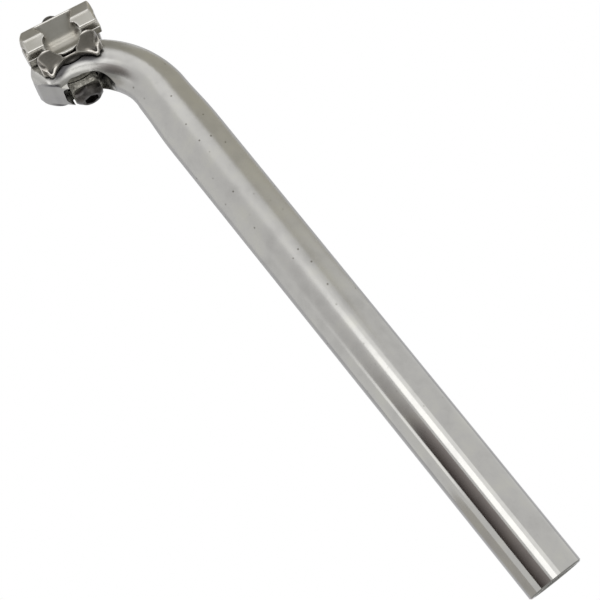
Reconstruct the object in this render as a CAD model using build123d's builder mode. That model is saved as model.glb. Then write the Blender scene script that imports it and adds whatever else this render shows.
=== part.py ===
"""Layback bicycle seatpost: bent one-piece post with a single-bolt tilting saddle clamp.

Origin at the lower end of the tube's full diameter, +Z up the tube, +X towards the front of the
bicycle. The clamp has a frame of its own at the middle of the saddle rails: x along the rails to the
front, y across the bicycle, z up the clamp bolt.
"""
import os
from math import copysign, cos, pi, radians, sin, sqrt, tan

from build123d import *

os.makedirs("parts", exist_ok=True)

# Post: height of the rails above the lower end, and the straight tube that slides into the frame.
post_length = 300.0
tube_diameter = 25.4
tube_wall = 2.4
bore_end_drop = 28.0
bore_end_fillet = 5.0
end_chamfer = 0.6
mouth_chamfer = 0.5
taper_length = 24.0
neck_thickness = 23.4

# Neck: bends rearward from the top of the shank, thinnest in the bend and wider at the head.
bend_radius = 33.4
bend_angle = 105.0
head_angle = 72.2
neck_sections = 10
bend_thickness = 19.7
nose_thickness = 22.4
nose_width = 24.2
nose_squareness = 1.4
thinning_power = 3
swelling_power = 4
widening_power = 2
section_points = 16
nose_fillet = 4.0

# Chin: flat underside of the head behind the bolt, sloping up to the rear.
chin_width = 17.0
chin_front = 3.0
chin_front_depth = 22.8
chin_rear = 17.6
chin_rear_depth = 8.4
chin_end = 19.6
chin_end_depth = 5.0
chin_back = 15.0
chin_corner = 5.0

# Clamp frame: parting plane of the clamp on the bolt axis, leaning nose down against the tube.
clamp_rise = 4.6
clamp_lean = 8.5

# Saddle rails that the jaws hold.
rail_diameter = 7.0
rail_spacing = 42.6
rail_lift = 0.6

# Cradle: the scoop in the head and the concentric washer seat under it.
pivot_height = 7.5
cradle_radius = 15.0
cradle_gap = 0.3
horn_height = 3.2
seat_wall = 5.0

# Bolt, its slot through the head and the pocket round its head.
bolt_diameter = 8.0
thread_depth = 0.4
bolt_tip_height = 22.8
bolt_tip_chamfer = 1.0
hex_across_flats = 12.0
hex_height = 3.9
hex_end_diameter = 8.8
hex_chamfer_angle = 42.0
socket_across_flats = 6.0
socket_depth = 3.0
slot_clearance = 0.5
slot_travel = 3.1
pocket_width = 18.6
pocket_rear = 9.6
pocket_front = 11.6
pocket_corner = 5.5

# Curved washer: a plate under a narrower saddle that slides on the seat.
washer_length = 13.0
washer_width = 15.0
washer_plate = 1.7
washer_saddle = 2.5
saddle_width = 9.6
washer_corner = 3.0
washer_gap = 0.25
washer_hole_clearance = 0.4

# Clamp halves: shared outline.
clamp_length = 34.6
clamp_width = 51.6
jaw_inner = 9.6
parting_drop = 1.3
parting_gap = 0.6
boss_half_flat = 2.6
boss_drop = 4.4
boss_half_width = 17.4
boss_round = 5.0

# Lower clamp: keel in the cradle, ribbed skirts outside the head and wings under the rails.
lower_length = 28.4
lower_width = 47.6
lower_corner = 4.0
skirt_gap = 0.5
skirt_outer = 16.4
skirt_panel = 14.4
skirt_rib = 1.2
foot_outer_y = 15.0
foot_bottom = 10.4
foot_inner = 10.0
foot_outer = 11.6
waist_half = 13.4
waist_height = 5.2
arch_top = 5.8
wing_inner = 3.0
wing_lip = 3.2
wing_root = 8.4
wing_hollow = 14.0
wing_end_drop = 2.6
wing_end_cut = 4.4

# Upper clamp: crowned bridge over the rails, stepped lips at the jaws and a dished middle.
lip_height = 4.4
lip_step = 0.4
edge_draft = 1.4
top_edge_height = 9.6
crown_height = 13.0
front_round = 6.0
rear_round = 10.5
dish_radius = 5.0
dish_half_length = 5.0
slope_edge_drop = 0.5
slope_top_half = 9.2
slope_ridge_half = 6.0
ridge_height = 3.9
horn_room = 6.4
plan_corner = 3.0

# Derived sizes.
tube_r = tube_diameter / 2
bore_r = tube_r - tube_wall
neck_r = neck_thickness / 2
rail_r = rail_diameter / 2
rail_y = rail_spacing / 2
lean = radians(clamp_lean)
rail_dir = Vector(cos(lean), 0, -sin(lean))
bolt_dir = Vector(sin(lean), 0, cos(lean))
bend_height = post_length - clamp_rise * cos(lean) - bend_radius * sin(radians(head_angle))
setback = bend_radius * (1 - cos(radians(head_angle))) - clamp_rise * sin(lean)
clamp_middle = Vector(-setback, 0, post_length)
bore_depth = bend_height - bore_end_drop
taper_start = bend_height - taper_length
seat_radius = cradle_radius + seat_wall
keel_radius = cradle_radius - cradle_gap
washer_bottom = pivot_height - seat_radius - washer_gap - washer_saddle - washer_plate
skirt_inner = nose_width / 2 + skirt_gap
half_length = clamp_length / 2
half_width = clamp_width / 2
top_half_width = half_width - edge_draft
lower_top = parting_drop + parting_gap / 2
upper_base = parting_drop - parting_gap / 2
bolt_r = bolt_diameter / 2
thread_core_r = bolt_r - thread_depth
lower_half = lower_length / 2
wing_outer = lower_width / 2
dip_depth = boss_drop + parting_gap
arch_rise = foot_bottom - arch_top
arch_r = (foot_inner**2 + arch_rise**2) / (2 * arch_rise)
rib_arch_r = arch_r + skirt_rib
arch_centre = -arch_top - arch_r
panel_inner = boss_half_flat + skirt_rib
ridge_y = rail_y - sqrt(dish_radius**2 - ridge_height**2)
slope_height = top_edge_height - ridge_height
slope_rise = (slope_height - slope_edge_drop) / (top_half_width - ridge_y)
slope_draft = (slope_top_half - slope_ridge_half) / slope_height
hex_corner_r = hex_across_flats / sqrt(3)
hex_chamfer = (hex_corner_r - hex_end_diameter / 2) * tan(radians(hex_chamfer_angle))

# Planes of the clamp frame: from the side, from above and along the rails.
side_plane = Plane(origin=clamp_middle, x_dir=rail_dir, z_dir=(0, -1, 0))
top_plane = Plane(origin=clamp_middle, x_dir=rail_dir, z_dir=bolt_dir)
rail_plane = Plane(origin=clamp_middle, x_dir=(0, 1, 0), z_dir=rail_dir)


# Room for the washer and the bolt head: a rounded pocket whose floor is the washer seat.
with BuildPart() as pocket_tool:
    pocket_centre = (pocket_front - pocket_rear) / 2
    with BuildSketch(top_plane.offset(-2 * seat_radius)):
        with Locations((pocket_centre, 0)):
            RectangleRounded(pocket_front + pocket_rear, pocket_width, pocket_corner)
    extrude(amount=2 * seat_radius)
    with BuildSketch(side_plane):
        with Locations((0, pivot_height)):
            Circle(seat_radius)
    extrude(amount=pocket_width, both=True, mode=Mode.SUBTRACT)

# Chin: a block with a flat sloping underside and rounded rear corners.
with BuildPart() as chin:
    with BuildSketch(side_plane):
        with BuildLine():
            FilletPolyline(
                (chin_front, horn_height), (chin_front, -chin_front_depth), (-chin_rear, -chin_rear_depth),
                (-chin_end, -chin_end_depth), (-chin_back, horn_height),
                radius=chin_corner / 2,
            )
            Line((-chin_back, horn_height), (chin_front, horn_height))
        make_face()
    extrude(amount=chin_width / 2, both=True)
    with BuildSketch(top_plane.offset(-tube_diameter)):
        with Locations(((chin_front - chin_end) / 2, 0)):
            RectangleRounded(chin_end + chin_front, chin_width, chin_corner)
    extrude(amount=2 * tube_diameter, mode=Mode.INTERSECT)

with BuildPart() as post:
    # Shank with a chamfered lower end and a short taper into the neck.
    with BuildSketch(Plane.XZ):
        with BuildLine():
            Polyline(
                (0, bend_height), (0, -end_chamfer), (tube_r - end_chamfer, -end_chamfer), (tube_r, 0),
                (tube_r, taper_start),
            )
            Spline(
                (tube_r, taper_start), (neck_r, bend_height),
                tangents=((0, 1), (0, 1)),
            )
            Line((neck_r, bend_height), (0, bend_height))
        make_face()
    revolve(axis=Axis.Z)
    # Neck: an arc rearward through oval sections, thinnest in the bend and squarer at the head.
    with BuildLine(Plane.XZ):
        neck_path = CenterArc((-bend_radius, bend_height), bend_radius, 0, bend_angle)
    with BuildSketch(Plane(origin=neck_path @ 0, x_dir=(1, 0, 0), z_dir=neck_path % 0)):
        Circle(neck_r)
    for section in range(1, neck_sections + 1):
        along = section / neck_sections
        thinning = (bend_thickness - neck_thickness) * (1 - (1 - along) ** thinning_power)
        swelling = (nose_thickness - bend_thickness) * along**swelling_power
        widening = (nose_width - neck_thickness) * along**widening_power
        section_power = 2 / (2 + nose_squareness * along**widening_power)
        section_y = neck_r + widening / 2
        section_z = neck_r + (thinning + swelling) / 2
        section_outline = []
        for turn in range(section_points):
            turn_angle = pi / 2 + 2 * pi * turn / section_points
            turn_cos = cos(turn_angle)
            turn_sin = sin(turn_angle)
            section_outline.append((
                copysign(section_y * abs(turn_cos) ** section_power, turn_cos),
                copysign(section_z * abs(turn_sin) ** section_power, turn_sin),
            ))
        section_plane = Plane(origin=neck_path @ along, x_dir=(0, 1, 0), z_dir=neck_path % along)
        with BuildSketch(section_plane):
            with BuildLine():
                Spline(*section_outline, periodic=True)
            make_face()
    loft()
    # Rear end cut off in line with the back of the chin, and rounded.
    with BuildSketch(side_plane):
        with BuildLine():
            back_slope = (chin_end - chin_back) / (chin_end_depth + horn_height)
            Polyline(
                (-chin_end - back_slope * tube_diameter, -chin_end_depth - tube_diameter),
                (-chin_back + back_slope * tube_diameter, horn_height + tube_diameter),
                (-2 * tube_diameter, horn_height + tube_diameter),
                (-2 * tube_diameter, -chin_end_depth - tube_diameter),
                close=True,
            )
        make_face()
    extrude(amount=tube_diameter, both=True, mode=Mode.SUBTRACT)
    nose_face = faces().filter_by(GeomType.PLANE).sort_by_distance(neck_path @ 1)[0]
    fillet(nose_face.edges(), nose_fillet)
    # Underside of the head cut to the slope of the chin, and the chin itself.
    with BuildSketch(side_plane):
        with BuildLine():
            chin_slope = (chin_front_depth - chin_rear_depth) / (chin_front + chin_rear)
            chin_run = tube_diameter
            Polyline(
                (chin_front, -chin_front_depth),
                (-chin_run, -chin_front_depth + chin_slope * (chin_run + chin_front)),
                (-chin_run, -2 * tube_diameter), (chin_front, -2 * tube_diameter),
                close=True,
            )
        make_face()
    extrude(amount=tube_diameter, both=True, mode=Mode.SUBTRACT)
    add(chin.part)
    # Scooped cradle across the head, with its two horns cut level.
    with BuildSketch(side_plane):
        with Locations((0, pivot_height)):
            Circle(cradle_radius)
    extrude(amount=tube_diameter, both=True, mode=Mode.SUBTRACT)
    with BuildSketch(top_plane.offset(horn_height)):
        Rectangle(2 * cradle_radius + tube_diameter, 2 * tube_diameter)
    extrude(amount=tube_diameter, mode=Mode.SUBTRACT)
    # Slot for the bolt and the pocket under it.
    with BuildSketch(top_plane.offset(-2 * seat_radius)):
        SlotOverall(2 * (bolt_r + slot_clearance + slot_travel), bolt_diameter + 2 * slot_clearance)
    extrude(amount=2 * seat_radius, mode=Mode.SUBTRACT)
    add(pocket_tool.part, mode=Mode.SUBTRACT)
    # Bore of the shank, closed by a rounded end below the bend.
    with BuildSketch(Plane.XZ):
        with BuildLine():
            Polyline(
                (0, bore_depth), (0, -end_chamfer), (bore_r + mouth_chamfer, -end_chamfer),
                (bore_r, mouth_chamfer - end_chamfer), (bore_r, bore_depth - bore_end_fillet),
            )
            RadiusArc(
                (bore_r, bore_depth - bore_end_fillet),
                (bore_r - bore_end_fillet, bore_depth), -bore_end_fillet,
            )
            Line((bore_r - bore_end_fillet, bore_depth), (0, bore_depth))
        make_face()
    revolve(axis=Axis.Z, mode=Mode.SUBTRACT)
post.part.label = "post"
export_step(post.part, "parts/post.step")

with BuildPart() as lower_clamp:
    # Keel: fills the cradle.
    with BuildSketch(side_plane):
        with Locations((0, -cradle_radius / 2 - lower_top)):
            Rectangle(lower_length, cradle_radius)
        with Locations((0, pivot_height)):
            Circle(keel_radius, mode=Mode.INTERSECT)
    extrude(amount=skirt_inner, both=True)
    # Skirts outside the head, with a waist above their feet.
    for skirt_side in (-1, 1):
        with BuildSketch(side_plane.offset(skirt_side * skirt_inner)):
            with BuildLine():
                Polyline(
                    (foot_outer, -foot_bottom), (waist_half, -waist_height), (lower_half, -lower_top),
                    (-lower_half, -lower_top), (-waist_half, -waist_height), (-foot_outer, -foot_bottom),
                    close=True,
                )
            make_face()
        extrude(amount=skirt_side * (skirt_outer - skirt_inner))
    # Draft: the skirts lean in towards their feet.
    with BuildSketch(rail_plane):
        for skirt_side in (-1, 1):
            with BuildLine():
                Polyline(
                    (skirt_side * skirt_outer, -arch_top), (skirt_side * foot_outer_y, -foot_bottom),
                    (skirt_side * foot_outer_y, -clamp_length), (skirt_side * clamp_width, -clamp_length),
                    (skirt_side * clamp_width, -arch_top),
                    close=True,
                )
            make_face()
    extrude(amount=clamp_length, both=True, mode=Mode.SUBTRACT)
    # Sunk panels at both ends of each skirt, leaving a rib along the arch and the ends.
    for skirt_side in (-1, 1):
        with BuildSketch(side_plane.offset(skirt_side * skirt_panel)):
            for panel_end in (-1, 1):
                panel_foot = foot_inner + skirt_rib / 2
                with BuildLine():
                    RadiusArc(
                        (panel_end * panel_inner, arch_centre + sqrt(rib_arch_r**2 - panel_inner**2)),
                        (panel_end * panel_foot, arch_centre + sqrt(rib_arch_r**2 - panel_foot**2)),
                        panel_end * rib_arch_r,
                    )
                    Polyline(
                        (panel_end * panel_foot, arch_centre + sqrt(rib_arch_r**2 - panel_foot**2)),
                        (panel_end * (foot_outer - skirt_rib / 2), -foot_bottom + skirt_rib),
                        (panel_end * (waist_half - skirt_rib), -waist_height),
                        (panel_end * (lower_half - skirt_rib), 0), (panel_end * panel_inner, 0),
                        (panel_end * panel_inner, arch_centre + sqrt(rib_arch_r**2 - panel_inner**2)),
                    )
                make_face()
        extrude(amount=skirt_side * (skirt_outer - skirt_panel), mode=Mode.SUBTRACT)
    # Wings under the rails, hollow below and sloping in to the panels.
    for wing_end in (-1, 1):
        with BuildSketch(rail_plane.offset(wing_end * wing_inner)):
            for wing_side in (-1, 1):
                with BuildLine():
                    Polyline(
                        (wing_side * skirt_inner, -wing_root), (wing_side * skirt_inner, -lower_top),
                        (wing_side * wing_outer, -lower_top), (wing_side * wing_outer, -wing_lip),
                    )
                    RadiusArc(
                        (wing_side * wing_outer, -wing_lip), (wing_side * skirt_panel, -wing_root),
                        -wing_side * wing_hollow,
                    )
                    Line((wing_side * skirt_panel, -wing_root), (wing_side * skirt_inner, -wing_root))
                make_face()
        extrude(amount=wing_end * (lower_half - wing_inner))
    # Arch between the feet, through the skirts and the roots of the wings.
    for arch_side in (-1, 1):
        with BuildSketch(side_plane.offset(arch_side * skirt_inner)):
            with Locations((0, arch_centre)):
                Circle(arch_r)
        extrude(amount=arch_side * half_width, mode=Mode.SUBTRACT)
    # Lower end corners of the wings cut back.
    for wing_side in (-1, 1):
        with BuildSketch(side_plane.offset(wing_side * skirt_outer)):
            for wing_end in (-1, 1):
                with BuildLine():
                    Polyline(
                        (wing_end * lower_half, -wing_end_drop),
                        (wing_end * (lower_half - wing_end_cut), -wing_root),
                        (wing_end * lower_half, -wing_root),
                        close=True,
                    )
                make_face()
        extrude(amount=wing_side * half_width, mode=Mode.SUBTRACT)
    # Top dips between the jaws, under the boss of the upper clamp.
    with BuildSketch(side_plane):
        with BuildLine():
            FilletPolyline(
                (-clamp_length, -lower_top), (-jaw_inner, -lower_top), (-boss_half_flat, -dip_depth),
                (boss_half_flat, -dip_depth), (jaw_inner, -lower_top), (clamp_length, -lower_top),
                radius=boss_round,
            )
            Polyline(
                (clamp_length, -lower_top), (clamp_length, clamp_length), (-clamp_length, clamp_length),
                (-clamp_length, -lower_top),
            )
        make_face()
    extrude(amount=clamp_width, both=True, mode=Mode.SUBTRACT)
    with BuildSketch(top_plane.offset(-cradle_radius)):
        RectangleRounded(lower_length, lower_width, lower_corner)
    extrude(amount=cradle_radius, mode=Mode.INTERSECT)
    # Grooves for the rails and the hole for the bolt.
    with BuildSketch(rail_plane):
        with Locations((-rail_y, rail_lift), (rail_y, rail_lift)):
            Circle(rail_r)
    extrude(amount=clamp_length, both=True, mode=Mode.SUBTRACT)
    with BuildSketch(top_plane.offset(-2 * cradle_radius)):
        Circle(bolt_r + slot_clearance)
    extrude(amount=2 * cradle_radius, mode=Mode.SUBTRACT)
lower_clamp.part.label = "lower_clamp"
export_step(lower_clamp.part, "parts/lower_clamp.step")

# Dish round the rail: a bar with round ends.
with BuildPart() as dish:
    with BuildSketch(side_plane):
        with BuildLine():
            Line((-dish_half_length, dish_radius), (dish_half_length, dish_radius))
            RadiusArc((dish_half_length, dish_radius), (dish_half_length + dish_radius, 0), dish_radius)
            Line((dish_half_length + dish_radius, 0), (-dish_half_length - dish_radius, 0))
            RadiusArc((-dish_half_length - dish_radius, 0), (-dish_half_length, dish_radius), dish_radius)
        make_face()
    revolve(axis=Axis(clamp_middle, rail_dir))

# Planes sloping in at the middle of both sides, with drafted ends.
with BuildPart() as slope_tool:
    with BuildSketch(rail_plane):
        for slope_side in (-1, 1):
            with BuildLine():
                Polyline(
                    (slope_side * clamp_width, ridge_height + slope_rise * (clamp_width - ridge_y)),
                    (slope_side * ridge_y, ridge_height), (slope_side * rail_y, 0),
                    (slope_side * rail_y, -clamp_width), (slope_side * clamp_width, -clamp_width),
                    close=True,
                )
            make_face()
    extrude(amount=half_length, both=True)
    with BuildSketch(side_plane):
        with BuildLine():
            Polyline(
                (slope_ridge_half + slope_draft * clamp_width, ridge_height + clamp_width),
                (slope_ridge_half, ridge_height), (slope_ridge_half, -clamp_width),
                (-slope_ridge_half, -clamp_width), (-slope_ridge_half, ridge_height),
                (-slope_ridge_half - slope_draft * clamp_width, ridge_height + clamp_width),
                close=True,
            )
        make_face()
    extrude(amount=clamp_width, both=True, mode=Mode.INTERSECT)

with BuildPart() as upper_clamp:
    # Bridge with a crowned top over both rails and a stepped lip along each jaw.
    with BuildSketch(rail_plane.offset(-half_length)):
        with BuildLine():
            Polyline(
                (top_half_width, top_edge_height), (half_width, lip_height),
                (half_width - lip_step, lip_height), (half_width - lip_step, -upper_base),
                (-half_width + lip_step, -upper_base),
                (-half_width + lip_step, lip_height), (-half_width, lip_height),
                (-top_half_width, top_edge_height),
            )
            ThreePointArc(
                (-top_half_width, top_edge_height), (0, crown_height), (top_half_width, top_edge_height),
            )
        make_face()
    extrude(amount=clamp_length)
    # Ends rounded down to the height of the jaws.
    with BuildSketch(side_plane):
        for bridge_end, end_round in ((-1, rear_round), (1, front_round)):
            with BuildLine():
                TangentArc(
                    (bridge_end * (half_length - end_round), crown_height),
                    (bridge_end * half_length, crown_height - end_round),
                    tangent=(bridge_end, 0),
                )
                Polyline(
                    (bridge_end * half_length, crown_height - end_round),
                    (bridge_end * clamp_length, crown_height - end_round),
                    (bridge_end * clamp_length, clamp_length),
                    (bridge_end * (half_length - end_round), clamp_length),
                    (bridge_end * (half_length - end_round), crown_height),
                )
            make_face()
    extrude(amount=clamp_width, both=True, mode=Mode.SUBTRACT)
    # Middle boss that dips between the jaws.
    with BuildSketch(side_plane):
        with BuildLine():
            FilletPolyline(
                (-half_length, -upper_base), (-jaw_inner, -upper_base), (-boss_half_flat, -boss_drop),
                (boss_half_flat, -boss_drop), (jaw_inner, -upper_base), (half_length, -upper_base),
                radius=boss_round,
            )
            Polyline(
                (half_length, -upper_base), (half_length, horn_room), (-half_length, horn_room),
                (-half_length, -upper_base),
            )
        make_face()
    extrude(amount=boss_half_width, both=True)
    # Corners rounded as seen from above.
    with BuildSketch(top_plane.offset(-clamp_length)):
        RectangleRounded(clamp_length, clamp_width, plan_corner)
    extrude(amount=2 * clamp_length, mode=Mode.INTERSECT)
    # Room for the horns of the cradle at both ends.
    with BuildSketch(side_plane):
        for bridge_end in (-1, 1):
            with Locations((bridge_end * (jaw_inner + clamp_length / 2), 0)):
                Rectangle(clamp_length, 2 * horn_room)
    extrude(amount=skirt_inner, both=True, mode=Mode.SUBTRACT)
    # Middle of each side: a plane sloping in to a ridge, and a dish round the rail below it.
    add(slope_tool.part, mode=Mode.SUBTRACT)
    with Locations((0, rail_y, 0), (0, -rail_y, 0)):
        add(dish.part, mode=Mode.SUBTRACT)
    # Grooves for the rails and the threaded hole for the bolt.
    with BuildSketch(rail_plane):
        with Locations((-rail_y, rail_lift), (rail_y, rail_lift)):
            Circle(rail_r)
    extrude(amount=clamp_length, both=True, mode=Mode.SUBTRACT)
    with BuildSketch(top_plane.offset(-clamp_length)):
        Circle(bolt_r)
    extrude(amount=2 * clamp_length, mode=Mode.SUBTRACT)
upper_clamp.part.label = "upper_clamp"
export_step(upper_clamp.part, "parts/upper_clamp.step")

with BuildPart() as clamp_bolt:
    # Hexagon head with a turned chamfer at its free end.
    with BuildSketch(top_plane.offset(washer_bottom)):
        RegularPolygon(hex_across_flats / 2, 6, major_radius=False, rotation=30)
    extrude(amount=-hex_height)
    with BuildSketch(side_plane):
        with BuildLine():
            Polyline(
                (0, washer_bottom - hex_height), (hex_end_diameter / 2, washer_bottom - hex_height),
                (hex_corner_r, washer_bottom - hex_height + hex_chamfer), (hex_corner_r, washer_bottom),
                (0, washer_bottom),
                close=True,
            )
        make_face()
    revolve(axis=Axis(clamp_middle, bolt_dir), mode=Mode.INTERSECT)
    # Shank at full thread diameter inside the clamp, at core diameter where the thread stands free.
    with BuildSketch(top_plane.offset(washer_bottom)):
        Circle(bolt_r)
    extrude(amount=crown_height - washer_bottom)
    with BuildSketch(top_plane.offset(crown_height)):
        Circle(thread_core_r)
    extrude(amount=bolt_tip_height - crown_height)
    tip_face = faces().filter_by(GeomType.PLANE).sort_by(Axis.Z)[-1]
    chamfer(tip_face.edges(), bolt_tip_chamfer)
    # Hexagon socket.
    with BuildSketch(top_plane.offset(washer_bottom - hex_height)):
        RegularPolygon(socket_across_flats / 2, 6, major_radius=False, rotation=30)
    extrude(amount=socket_depth, mode=Mode.SUBTRACT)
clamp_bolt.part.label = "clamp_bolt"
export_step(clamp_bolt.part, "parts/clamp_bolt.step")

with BuildPart() as curved_washer:
    # Rounded plate with a narrower saddle on it, hollowed to slide on the washer seat.
    with BuildSketch(top_plane.offset(washer_bottom)):
        RectangleRounded(washer_length, washer_width, washer_corner)
    extrude(amount=washer_plate)
    with BuildSketch(top_plane.offset(washer_bottom + washer_plate)):
        Rectangle(washer_length, saddle_width)
    extrude(amount=seat_radius)
    with BuildSketch(side_plane):
        with Locations((0, pivot_height)):
            Circle(seat_radius + washer_gap)
    extrude(amount=washer_width, both=True, mode=Mode.SUBTRACT)
    with BuildSketch(top_plane.offset(washer_bottom)):
        Circle(bolt_r + washer_hole_clearance)
    extrude(amount=seat_radius, mode=Mode.SUBTRACT)
curved_washer.part.label = "curved_washer"
export_step(curved_washer.part, "parts/curved_washer.step")
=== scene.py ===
"""Layback bicycle seatpost with a single-bolt saddle clamp, dressed over its CAD frame."""

import bmesh
import bpy
import numpy as np
from mathutils import Matrix, Vector


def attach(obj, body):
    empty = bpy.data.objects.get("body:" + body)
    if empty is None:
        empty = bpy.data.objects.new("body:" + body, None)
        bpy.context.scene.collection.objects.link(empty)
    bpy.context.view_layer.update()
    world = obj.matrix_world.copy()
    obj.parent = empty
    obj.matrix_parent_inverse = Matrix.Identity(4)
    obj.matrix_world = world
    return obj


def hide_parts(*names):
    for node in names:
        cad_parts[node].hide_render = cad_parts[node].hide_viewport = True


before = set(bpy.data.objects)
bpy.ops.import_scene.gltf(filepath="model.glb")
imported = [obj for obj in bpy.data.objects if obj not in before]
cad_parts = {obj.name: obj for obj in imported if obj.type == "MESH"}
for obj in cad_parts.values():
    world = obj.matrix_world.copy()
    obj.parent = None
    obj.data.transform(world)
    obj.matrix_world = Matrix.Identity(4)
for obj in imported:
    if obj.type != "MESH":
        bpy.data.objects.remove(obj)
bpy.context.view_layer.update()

# Post: one piece of drawn and forged aluminium. The shank is polished bright towards its lower end, and
# the neck and head are left satin. It has clouded stains and small dark pits, and painted shade under the
# clamp and in the crease over the chin.


def linear(hexcode):
    """Linear RGBA of an sRGB hex colour, by the sRGB transfer curve."""
    value = np.array([int(hexcode[i:i + 2], 16) for i in (1, 3, 5)]) / 255.0
    value = np.where(value <= 0.04045, value / 12.92, ((value + 0.055) / 1.055) ** 2.4)
    return (*value.tolist(), 1.0)


def add(tree, kind, inputs=None, stops=(), **settings):
    """Add one shader node: settings are its properties, inputs are socket values or sockets to link, and
    stops are the (position, hex colour) pairs of a colour ramp."""
    node = tree.nodes.new(kind)
    for key, value in settings.items():
        setattr(node, key, value)
    for key, value in (inputs or {}).items():
        if isinstance(value, bpy.types.NodeSocket):
            tree.links.new(value, node.inputs[key])
        else:
            node.inputs[key].default_value = value
    for index, (position, hexcode) in enumerate(stops):
        if index >= len(node.color_ramp.elements):
            node.color_ramp.elements.new(position)
        node.color_ramp.elements[index].position = position
        node.color_ramp.elements[index].color = linear(hexcode)
    return node


def metal(name):
    """Empty metal material: returns the material, its tree and its surface shader."""
    material = bpy.data.materials.new(name)
    material.use_nodes = True
    tree = material.node_tree
    surface = tree.nodes["Principled BSDF"]
    surface.inputs["Metallic"].default_value = 1.0
    return material, tree, surface


def dress(node_name, material):
    """Give every material slot of a CAD node the same finish."""
    piece = bpy.data.objects[node_name]
    for slot in piece.material_slots:
        slot.material = material
    if not piece.material_slots:
        piece.data.materials.append(material)


# Heights on the shank, in metres: a mirror without pits up to the first, all the pits from the second, and
# satin from the third.
mirror_height = 0.06
pitted_height = 0.13
satin_height = 0.175
mirror_roughness = 0.09
satin_roughness = 0.27

# The clamp that sits on the head: directions of its bolt and of the saddle rails, the middle of its parting
# plane, and the axis of the round arch on its underside.
bolt_dir = Vector((0.14781, 0.0, 0.98902))
rail_dir = Vector((0.98902, 0.0, -0.14781))
clamp_middle = Vector((-0.02251, 0.0, 0.3))
arch_axis = clamp_middle - 0.019 * bolt_dir

# Painted shadow under the clamp, from where it starts to where it is full: distance from the arch's axis,
# distance along the rails from the clamp's middle, and height up the bolt from there.
arch_reach = (0.0096, 0.0118)
arch_length = (0.014, 0.0095)
arch_rise = (-0.0128, -0.0098)

# Painted shade in the crease, in coordinates without their signs, so on both sides alike: ends of the line,
# half its width from where it starts to where it is full, and the length over which it thins out to the rear.
crease_rear = Vector((0.0402, 0.0097, 0.2934))
crease_front = Vector((0.0358, 0.0102, 0.2891))
crease_dir = (crease_front - crease_rear).normalized()
crease_width = (0.0016, 0.0005)
crease_fade = 0.004

# Gives the eye bright drawn metal that turns from a mirror to satin going up, faintly mottled.
post_metal, tree, surface = metal("polished_aluminium")
place = add(tree, "ShaderNodeTexCoord").outputs["Object"]
height = add(tree, "ShaderNodeSeparateXYZ", {"Vector": place}).outputs["Z"]

# Clouds of 12 mm: 1 / 0.012 m.
stain = add(tree, "ShaderNodeTexNoise", {"Vector": place, "Scale": 83.0, "Detail": 5.0, "Roughness": 0.6})
tint = add(tree, "ShaderNodeValToRGB", {"Fac": stain.outputs["Fac"]},
           stops=((0.3, "#a7a6a3"), (0.5, "#b0afac"), (0.7, "#b5b4ae"))).outputs["Color"]

# Pits of up to 1 mm in most of the 5 mm cells: 1 / 0.005 m. Distances are in cells.
cells = add(tree, "ShaderNodeTexVoronoi", {"Vector": place, "Scale": 200.0})
pits = add(tree, "ShaderNodeMapRange", {"Value": cells.outputs["Distance"], "From Min": 0.1,
                                        "From Max": 0.05}).outputs["Result"]
kept = add(tree, "ShaderNodeMath", {0: cells.outputs["Color"], 1: 0.3}, operation="GREATER_THAN").outputs[0]
pits = add(tree, "ShaderNodeMath", {0: pits, 1: kept}, operation="MULTIPLY").outputs[0]
worn = add(tree, "ShaderNodeMapRange", {"Value": height, "From Min": mirror_height,
                                        "From Max": pitted_height}).outputs["Result"]
pits = add(tree, "ShaderNodeMath", {0: pits, 1: worn}, operation="MULTIPLY").outputs[0]
tint = add(tree, "ShaderNodeMix", {"Factor": pits, "A": tint, "B": linear("#6c6962")},
           data_type="RGBA").outputs["Result"]

# Painted shadow under the clamp: the three distances' shares, multiplied.
flat = add(tree, "ShaderNodeVectorMath", {0: place, 1: (1.0, 0.0, 1.0)}, operation="MULTIPLY").outputs[0]
reach = add(tree, "ShaderNodeVectorMath", {0: flat, 1: arch_axis}, operation="DISTANCE").outputs["Value"]
near = add(tree, "ShaderNodeMapRange", {"Value": reach, "From Min": arch_reach[0], "From Max": arch_reach[1]},
           interpolation_type="SMOOTHSTEP").outputs["Result"]
along = add(tree, "ShaderNodeVectorMath", {0: flat, 1: rail_dir}, operation="DOT_PRODUCT").outputs["Value"]
along = add(tree, "ShaderNodeMath", {0: along, 1: clamp_middle.dot(rail_dir)},
            operation="SUBTRACT").outputs[0]
along = add(tree, "ShaderNodeMath", {0: along}, operation="ABSOLUTE").outputs[0]
beside = add(tree, "ShaderNodeMapRange", {"Value": along, "From Min": arch_length[0],
                                          "From Max": arch_length[1]}).outputs["Result"]
rise = add(tree, "ShaderNodeVectorMath", {0: flat, 1: bolt_dir}, operation="DOT_PRODUCT").outputs["Value"]
rise = add(tree, "ShaderNodeMath", {0: rise, 1: clamp_middle.dot(bolt_dir)}, operation="SUBTRACT").outputs[0]
high = add(tree, "ShaderNodeMapRange", {"Value": rise, "From Min": arch_rise[0],
                                        "From Max": arch_rise[1]}).outputs["Result"]
shade_mask = add(tree, "ShaderNodeMath", {0: near, 1: beside}, operation="MULTIPLY").outputs[0]
shade_mask = add(tree, "ShaderNodeMath", {0: shade_mask, 1: high}, operation="MULTIPLY").outputs[0]
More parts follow.
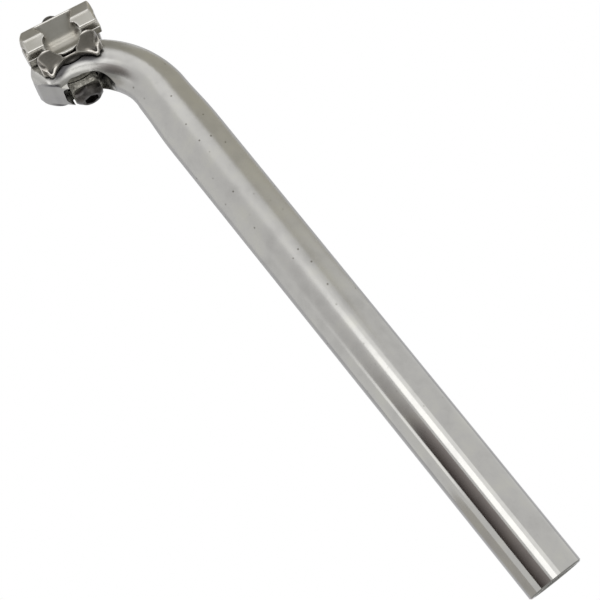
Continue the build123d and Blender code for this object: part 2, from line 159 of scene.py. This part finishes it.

# Painted shade in the crease: distance from its line, the length of a cross product.
folded = add(tree, "ShaderNodeVectorMath", {0: place}, operation="ABSOLUTE").outputs[0]
folded = add(tree, "ShaderNodeVectorMath", {0: folded, 1: crease_rear}, operation="SUBTRACT").outputs[0]
aside = add(tree, "ShaderNodeVectorMath", {0: folded, 1: crease_dir}, operation="CROSS_PRODUCT").outputs[0]
aside = add(tree, "ShaderNodeVectorMath", {0: aside}, operation="LENGTH").outputs["Value"]
line = add(tree, "ShaderNodeMapRange", {"Value": aside, "From Min": crease_width[0],
                                        "From Max": crease_width[1]}).outputs["Result"]
onward = add(tree, "ShaderNodeVectorMath", {0: folded, 1: crease_dir},
             operation="DOT_PRODUCT").outputs["Value"]
onward = add(tree, "ShaderNodeMapRange", {"Value": onward, "From Min": 0.0,
                                          "From Max": crease_fade}).outputs["Result"]
line = add(tree, "ShaderNodeMath", {0: line, 1: onward}, operation="MULTIPLY").outputs[0]
shade_mask = add(tree, "ShaderNodeMath", {0: shade_mask, 1: line}, operation="MAXIMUM").outputs[0]
# Painted shade, dark grey, under the clamp and in the crease.
tint = add(tree, "ShaderNodeMix", {"Factor": shade_mask, "A": tint, "B": linear("#4c4b4c")},
           data_type="RGBA").outputs["Result"]
tree.links.new(tint, surface.inputs["Base Color"])

satin = add(tree, "ShaderNodeMapRange", {"Value": height, "From Min": mirror_height, "From Max": satin_height,
                                         "To Min": mirror_roughness, "To Max": satin_roughness},
            interpolation_type="SMOOTHSTEP").outputs["Result"]
tree.links.new(satin, surface.inputs["Roughness"])
dress("post", post_metal)

# Lower clamp: aluminium casting that sits in the cradle of the head and carries the saddle rails. Tumbling
# has rounded every edge. Its rims are painted pale, partly burnished wear and partly painted highlight, and
# painted shade darkens its corners and its middle under the arch.


def tumble(node_name, piece_name, passes):
    """Tumbled copy of a CAD node: an even skin of square faces along the clamp's own axes, each point moved
    half way to the mean of its neighbours, passes times. Attributes are moves along the normal in
    millimetres, over 0 on edges and under 0 in corners: "wear" after those passes, "hollow" after many."""
    grid = 0.0003
    hollow_passes = 120
    to_clamp = Matrix((rail_dir, (0.0, 1.0, 0.0), bolt_dir)).to_4x4()
    core = bmesh.new()
    core.from_mesh(bpy.data.objects[node_name].data)
    bmesh.ops.remove_doubles(core, verts=core.verts, dist=1e-6)
    sharp = bpy.data.meshes.new(piece_name + "_sharp")
    core.to_mesh(sharp)
    core.free()
    sharp.transform(to_clamp)
    piece = bpy.data.objects.new(piece_name, sharp)
    bpy.context.scene.collection.objects.link(piece)
    skin = piece.modifiers.new("skin", "REMESH")
    skin.mode = "VOXEL"
    skin.voxel_size = grid
    mesh = bpy.data.meshes.new_from_object(piece.evaluated_get(bpy.context.evaluated_depsgraph_get()))
    piece.modifiers.clear()
    piece.data = mesh
    bpy.data.meshes.remove(sharp)
    mesh.name = piece_name
    mesh.transform(to_clamp.inverted())

    count = len(mesh.vertices)
    start = np.empty(count * 3)
    mesh.vertices.foreach_get("co", start)
    start = start.reshape(count, 3)
    normal = np.empty(count * 3)
    mesh.vertices.foreach_get("normal", normal)
    normal = normal.reshape(count, 3)
    ends = np.empty(len(mesh.edges) * 2, int)
    mesh.edges.foreach_get("vertices", ends)
    a, b = ends.reshape(-1, 2).T
    neighbours = np.bincount(a, minlength=count) + np.bincount(b, minlength=count)
    points = start.copy()
    for step in range(1, hollow_passes + 1):
        total = np.stack([np.bincount(a, points[b, i], count) + np.bincount(b, points[a, i], count)
                          for i in range(3)], axis=1)
        points += 0.5 * (total / neighbours[:, None] - points)
        if step == passes:
            mesh.vertices.foreach_set("co", points.ravel())
            wear = mesh.attributes.new("wear", "FLOAT", "POINT")
            wear.data.foreach_set("value", ((start - points) * normal).sum(axis=1) * 1000.0)
    hollow = mesh.attributes.new("hollow", "FLOAT", "POINT")
    hollow.data.foreach_set("value", ((start - points) * normal).sum(axis=1) * 1000.0)
    mesh.shade_smooth()
    mesh.update()
    return piece


def casting(name, dark, pale, rim, painted_shade, core):
    """Cast metal between two shades, with rims painted pale as burnished wear and painted highlight, and with
    painted shade in its hollows and within core of the middle plane."""
    rim_wear_and_glint = (0.02, 0.12)
    full_hollow = -0.45
    core_fade = 0.0006
    cast_roughness = 0.32
    rim_roughness = 0.2
    material, tree, surface = metal(name)
    place = add(tree, "ShaderNodeTexCoord").outputs["Object"]
    wear = add(tree, "ShaderNodeAttribute", attribute_name="wear").outputs["Fac"]
    hollow = add(tree, "ShaderNodeAttribute", attribute_name="hollow").outputs["Fac"]
    # Clouds of 7 mm: 1 / 0.007 m.
    cloud = add(tree, "ShaderNodeTexNoise", {"Vector": place, "Scale": 140.0, "Detail": 4.0}).outputs["Fac"]
    tint = add(tree, "ShaderNodeValToRGB", {"Fac": cloud}, stops=((0.3, dark), (0.7, pale))).outputs["Color"]
    # Painted shade: the deeper the hollow, the darker.
    deep = add(tree, "ShaderNodeMapRange", {"Value": hollow, "From Min": 0.0,
                                            "From Max": full_hollow}).outputs["Result"]
    tint = add(tree, "ShaderNodeMix", {"Factor": deep, "A": tint, "B": linear(painted_shade)},
               data_type="RGBA").outputs["Result"]
    # Rims painted pale: burnished wear and painted highlight.
    edge = add(tree, "ShaderNodeMapRange", {"Value": wear, "From Min": rim_wear_and_glint[0],
                                            "From Max": rim_wear_and_glint[1]}).outputs["Result"]
    tint = add(tree, "ShaderNodeMix", {"Factor": edge, "A": tint, "B": linear(rim)},
               data_type="RGBA").outputs["Result"]
    # Painted shade within core of the middle plane, where the casting sits over the head.
    off = add(tree, "ShaderNodeSeparateXYZ", {"Vector": place}).outputs["Y"]
    off = add(tree, "ShaderNodeMath", {0: off}, operation="ABSOLUTE").outputs[0]
    inside = add(tree, "ShaderNodeMapRange", {"Value": off, "From Min": core + core_fade,
                                              "From Max": core}).outputs["Result"]
    tint = add(tree, "ShaderNodeMix", {"Factor": inside, "A": tint, "B": linear(painted_shade)},
               data_type="RGBA").outputs["Result"]
    tree.links.new(tint, surface.inputs["Base Color"])
    finish = add(tree, "ShaderNodeMapRange", {"Value": edge, "To Min": cast_roughness,
                                              "To Max": rim_roughness}).outputs["Result"]
    tree.links.new(finish, surface.inputs["Roughness"])
    # Grain of 1.1 mm: 1 / 0.0011 m, 0.3 mm deep at full strength.
    grain = add(tree, "ShaderNodeTexNoise", {"Vector": place, "Scale": 900.0, "Detail": 3.0}).outputs["Fac"]
    relief = add(tree, "ShaderNodeBump", {"Height": grain, "Strength": 0.12, "Distance": 0.0003})
    tree.links.new(relief.outputs["Normal"], surface.inputs["Normal"])
    return material


# Gives the eye a brown-grey casting with pale rims.
shaded_cast_metal = casting("cast_aluminium_painted_shade", dark="#827e77", pale="#928e88", rim="#c2beb8", painted_shade="#4a4846",
                      core=0.0128)
piece = tumble("lower_clamp", "lower_clamp_casting", passes=24)
piece.data.materials.clear()
piece.data.materials.append(shaded_cast_metal)
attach(piece, "clamp")
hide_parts("lower_clamp")

# Upper clamp: aluminium casting that bridges both saddle rails. It is tumbled like the lower one, but less,
# and the bolt screws into it and pulls it down on the rails.

# Gives the eye a pale grey casting with bright rims; a core below 0 means no painted shade in the middle.
tumbled_metal = casting("tumbled_cast_aluminium", dark="#9c9a93", pale="#aaa8a2", rim="#d8d5d1",
                        painted_shade="#9a958b", core=-0.001)
piece = tumble("upper_clamp", "upper_clamp_casting", passes=9)
piece.data.materials.clear()
piece.data.materials.append(tumbled_metal)
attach(piece, "clamp")
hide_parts("upper_clamp")

# Clamp bolt: black oxide steel with a rolled M8 thread and a forged hexagon head with a socket. It is
# screwed up through the head of the post and both castings, and its thread stands out on top.


def thread(name, base, top, core, crest, pitch):
    """Free end of a screw thread on the bolt's axis: radius = core + (crest - core) x a flat-topped ridge
    that climbs one pitch a turn, run out into the core at both ends. Heights are above the parting plane.
    The ridge is flat for a third of the pitch and falls to the root in steep flanks on both sides."""
    segments = 72
    levels_per_pitch = 14
    sunk = 2e-5
    levels = int(round((top - base) / pitch * levels_per_pitch)) + 1
    angle = np.arange(segments) * 2 * np.pi / segments
    level = np.linspace(base, top, levels)
    phase = np.mod(level[:, None] / pitch - angle[None, :] / (2 * np.pi), 1.0)
    ridge = np.clip(1.6 - 3.6 * np.abs(phase - 0.5), 0.0, 1.0)
    run_out = np.clip(np.minimum(level - base, top - level) / (0.5 * pitch), 0.0, 1.0)
    radius = core - sunk + (crest - core + sunk) * ridge * run_out[:, None]
    side = Vector((0.0, 1.0, 0.0))
    points = (np.array(clamp_middle)
              + level[:, None, None] * np.array(bolt_dir)
              + (radius * np.cos(angle))[..., None] * np.array(rail_dir)
              + (radius * np.sin(angle))[..., None] * np.array(side)).reshape(-1, 3)
    ring = np.arange(segments)
    following = np.roll(ring, -1)
    start = np.arange(levels - 1)[:, None] * segments
    quads = np.stack([start + ring, start + following, start + segments + following,
                      start + segments + ring], axis=-1).reshape(-1, 4)
    faces = quads.tolist() + [ring[::-1].tolist(), ((levels - 1) * segments + ring).tolist()]
    mesh = bpy.data.meshes.new(name)
    mesh.from_pydata(points.tolist(), [], faces)
    mesh.shade_smooth()
    piece = bpy.data.objects.new(name, mesh)
    bpy.context.scene.collection.objects.link(piece)
    return piece


# Gives the eye a dull black skin, rubbed to grey in patches.
bolt_steel, tree, surface = metal("black_oxide_steel")
place = add(tree, "ShaderNodeTexCoord").outputs["Object"]
# Rubbed patches of 2.5 mm: 1 / 0.0025 m.
rub = add(tree, "ShaderNodeTexNoise", {"Vector": place, "Scale": 400.0, "Detail": 4.0}).outputs["Fac"]
tint = add(tree, "ShaderNodeValToRGB", {"Fac": rub},
           stops=((0.35, "#4c4a49"), (0.7, "#74716f"))).outputs["Color"]
tree.links.new(tint, surface.inputs["Base Color"])
surface.inputs["Roughness"].default_value = 0.3
dress("clamp_bolt", bolt_steel)
piece = thread("bolt_thread", base=0.0126, top=0.0219, core=0.0036, crest=0.004, pitch=0.00125)
piece.data.materials.append(bolt_steel)
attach(piece, "clamp")

# Curved washer: pressed steel with a dull, speckled zinc plating. It lies between the bolt's head and the
# round seat under the head of the post, and slides there when the clamp tilts.

# Gives the eye worn plating, grey with pale flecks.
washer_zinc, tree, surface = metal("speckled_zinc_steel")
place = add(tree, "ShaderNodeTexCoord").outputs["Object"]
# Flecks of 0.7 mm: 1 / 0.0007 m.
fleck = add(tree, "ShaderNodeTexNoise", {"Vector": place, "Scale": 1400.0, "Detail": 3.0}).outputs["Fac"]
tint = add(tree, "ShaderNodeValToRGB", {"Fac": fleck},
           stops=((0.4, "#7a7871"), (0.68, "#b9b7ae"))).outputs["Color"]
tree.links.new(tint, surface.inputs["Base Color"])
surface.inputs["Roughness"].default_value = 0.5
dress("curved_washer", washer_zinc)

# Studio: white room for the background, soft lamps in front, below and to the left, and a pale floor well
# below the post. A dark screen to the left gives the shank its dark band, with a pale strip over it where
# the band begins, and an olive card to the right and pale ones round about shade the rest.

scene = bpy.context.scene
scene.view_settings.view_transform = "Standard"

world = bpy.data.worlds.new("white_room")
scene.world = world
world.use_nodes = True
tree = world.node_tree
tree.nodes["Background"].inputs["Color"].default_value = (1.0, 1.0, 1.0, 1.0)
rays = add(tree, "ShaderNodeLightPath")
seen = add(tree, "ShaderNodeMath", {0: rays.outputs["Is Camera Ray"], 1: rays.outputs["Is Glossy Ray"]},
           operation="MAXIMUM").outputs[0]
seen = add(tree, "ShaderNodeMath", {0: seen, 1: rays.outputs["Is Transmission Ray"]},
           operation="MAXIMUM").outputs[0]
level = add(tree, "ShaderNodeMapRange", {"Value": seen, "To Min": 0.7, "To Max": 1.0}).outputs["Result"]
tree.links.new(level, tree.nodes["Background"].inputs["Strength"])


def facing(place, target):
    """World matrix at place whose -Z axis points at target, with +Y as near to up as it can be."""
    back = (Vector(place) - Vector(target)).normalized()
    side = Vector((0.0, 0.0, 1.0)).cross(back).normalized()
    up = back.cross(side)
    turn = Matrix((side, up, back)).transposed()
    return Matrix.Translation(place) @ turn.to_4x4()


def soft_lamp(name, place, target, width, tall, radiance):
    """Rectangular lamp of the given size; power = radiance x area x pi."""
    lamp = bpy.data.lights.new(name, "AREA")
    lamp.shape = "RECTANGLE"
    lamp.size = width
    lamp.size_y = tall
    lamp.energy = radiance * width * tall * np.pi
    piece = bpy.data.objects.new(name, lamp)
    scene.collection.objects.link(piece)
    piece.matrix_world = facing(place, target)
    piece.visible_camera = False


def card(name, place, target, width, tall, left, right=None):
    """Flat studio card facing target, shaded from left to right; the camera does not see it."""
    corners = np.array([(-1, -1, 0), (1, -1, 0), (1, 1, 0), (-1, 1, 0)]) * (width / 2, tall / 2, 0)
    mesh = bpy.data.meshes.new(name)
    mesh.from_pydata(corners.tolist(), [], [(0, 1, 2, 3)])
    material, tree, surface = metal(name)
    surface.inputs["Metallic"].default_value = 0.0
    surface.inputs["Roughness"].default_value = 1.0
    if right is None:
        surface.inputs["Base Color"].default_value = linear(left)
    else:
        across = add(tree, "ShaderNodeTexCoord").outputs["Object"]
        across = add(tree, "ShaderNodeSeparateXYZ", {"Vector": across}).outputs["X"]
        across = add(tree, "ShaderNodeMapRange", {"Value": across, "From Min": -width / 2,
                                                  "From Max": width / 2}).outputs["Result"]
        tint = add(tree, "ShaderNodeMix", {"Factor": across, "A": linear(left), "B": linear(right)},
                   data_type="RGBA").outputs["Result"]
        tree.links.new(tint, surface.inputs["Base Color"])
    mesh.materials.append(material)
    piece = bpy.data.objects.new(name, mesh)
    scene.collection.objects.link(piece)
    piece.matrix_world = facing(place, target)
    piece.visible_camera = False
    piece.visible_shadow = False
    piece.visible_diffuse = False


head = (-0.02, 0.0, 0.29)
soft_lamp("stripe_lamp", (-0.113, -1.295, 0.2), (0.0, 0.0, 0.2), width=0.44, tall=0.5, radiance=1.3)
soft_lamp("fill_lamp", (0.27, -1.27, 0.2), (0.0, 0.0, 0.2), width=0.36, tall=0.5, radiance=0.5)
soft_lamp("high_lamp", (0.12, -1.2, 0.92), head, width=1.1, tall=0.32, radiance=0.5)
soft_lamp("table_lamp", (-0.05, -0.86, -0.40), head, width=1.1, tall=0.75, radiance=1.3)
soft_lamp("side_lamp", (-1.364, -0.315, 0.305), (0.0, 0.0, 0.305), width=0.24, tall=0.21, radiance=0.65)

card("dark_screen", (-0.869, -0.828, -0.11), (0.0, 0.0, -0.11), width=1.04, tall=0.77,
     left="#3f3330", right="#bab2b0")
card("pale_screen", (-0.869, -0.828, 0.3175), (0.0, 0.0, 0.3175), width=1.04, tall=0.085,
     left="#e3dfdc", right="#f6f4f3")
card("olive_card", (1.28, -0.226, 1.16), (0.0, 0.0, 1.16), width=2.6, tall=1.2, left="#efebdc")
card("back_card", (0.1, 1.3, 0.6), (0.0, 0.0, 0.6), width=3.0, tall=1.9, left="#f2f2f5")
card("grey_card", (-1.05, 0.6, -0.16), (0.0, 0.0, -0.16), width=1.1, tall=0.68, left="#e8e5e0")
card("ceiling", (0.0, -0.2, 1.7), (0.0, -0.199, 0.0), width=2.4, tall=2.2, left="#cfccc2")
card("floor", (0.0, 0.0, -0.5), (0.0, 0.001, 1.0), width=6.0, tall=6.0, left="#c9c9c6")

# Camera: long lens from the left, a little below the shank's lower end, rolled so that the post runs
# from the upper left to the lower right of the square picture.

camera_data = bpy.data.cameras.new("camera")
camera_data.sensor_width = 36.0
camera_data.lens = 99.0
camera_data.clip_start = 0.01
camera = bpy.data.objects.new("camera", camera_data)
scene.collection.objects.link(camera)
right = Vector((0.79569, 0.03633, -0.60462)).normalized()
ahead = Vector((0.15035, 0.95511, 0.25525)).normalized()
up = right.cross(ahead).normalized()
right = ahead.cross(up)
turn = Matrix((right, up, -ahead)).transposed()
camera.matrix_world = Matrix.Translation((-0.1122, -0.6515, -0.0221)) @ turn.to_4x4()
scene.camera = camera
